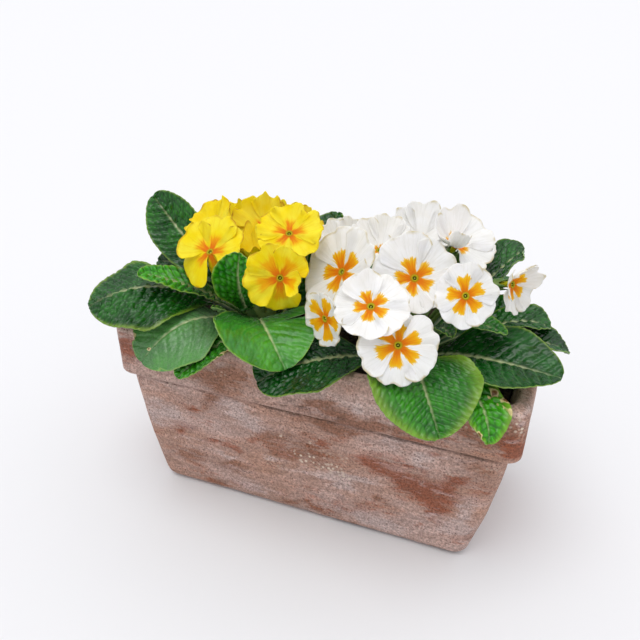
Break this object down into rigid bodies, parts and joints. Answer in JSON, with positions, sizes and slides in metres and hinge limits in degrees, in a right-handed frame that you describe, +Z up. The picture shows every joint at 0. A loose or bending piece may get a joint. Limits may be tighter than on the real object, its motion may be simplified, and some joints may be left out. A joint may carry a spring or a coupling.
{
  "type": "planted window box",
  "caption": "Rectangular terracotta trough with a thick banded mouth, filled with soil and planted with a yellow and a white primrose in full bloom.",
  "frame": {"origin": "middle of the trough's underside, on the surface that it stands on", "axes": "+X along the trough, from the yellow primrose to the white one; +Y from its front to its back; +Z up"},
  "size_m": [0.3376, 0.2016, 0.2361],
  "materials": {
    "terracotta": "weathered unglazed terracotta, dusty pink-brown",
    "soil": "dark moist crumbly potting soil",
    "leaf_green": "puckered satin leaf",
    "stalk_green": "soft pale green stalk",
    "petal_yellow": "soft matte petal with an orange eye",
    "petal_white": "soft matte petal with an orange star at its eye"
  },
  "bodies": {
    "root": {"trough": "terracotta", "soil": "soil", "stalks_yellow": "stalk_green", "bloom_yellow_01": "petal_yellow", "bloom_yellow_02": "petal_yellow", "bloom_yellow_03": "petal_yellow", "bloom_yellow_04": "petal_yellow", "bloom_yellow_05": "petal_yellow", "bloom_yellow_06": "petal_yellow", "bloom_yellow_07": "petal_yellow", "bloom_yellow_08": "petal_yellow", "bloom_yellow_09": "petal_yellow", "leaf_left_01": "leaf_green", "leaf_left_02": "leaf_green", "leaf_left_03": "leaf_green", "leaf_left_04": "leaf_green", "leaf_left_05": "leaf_green", "leaf_left_06": "leaf_green", "leaf_left_07": "leaf_green", "leaf_left_08": "leaf_green", "leaf_left_09": "leaf_green", "leaf_left_10": "leaf_green", "leaf_left_11": "leaf_green", "leaf_left_12": "leaf_green", "leaf_left_13": "leaf_green", "leaf_left_14": "leaf_green", "leaf_left_15": "leaf_green", "stalks_white": "stalk_green", "bloom_white_01": "petal_white", "bloom_white_02": "petal_white", "bloom_white_03": "petal_white", "bloom_white_04": "petal_white", "bloom_white_05": "petal_white", "bloom_white_06": "petal_white", "bloom_white_07": "petal_white", "bloom_white_08": "petal_white", "bloom_white_09": "petal_white", "bloom_white_10": "petal_white", "bloom_white_11": "petal_white", "bloom_white_12": "petal_white", "bloom_white_13": "petal_white", "bloom_white_14": "petal_white", "leaf_right_01": "leaf_green", "leaf_right_02": "leaf_green", "leaf_right_03": "leaf_green", "leaf_right_04": "leaf_green", "leaf_right_05": "leaf_green", "leaf_right_06": "leaf_green", "leaf_right_07": "leaf_green", "leaf_right_08": "leaf_green", "leaf_right_09": "leaf_green", "leaf_right_10": "leaf_green", "leaf_right_11": "leaf_green", "leaf_right_12": "leaf_green", "leaf_right_13": "leaf_green", "leaf_right_14": "leaf_green"}
  },
  "joints": []
}
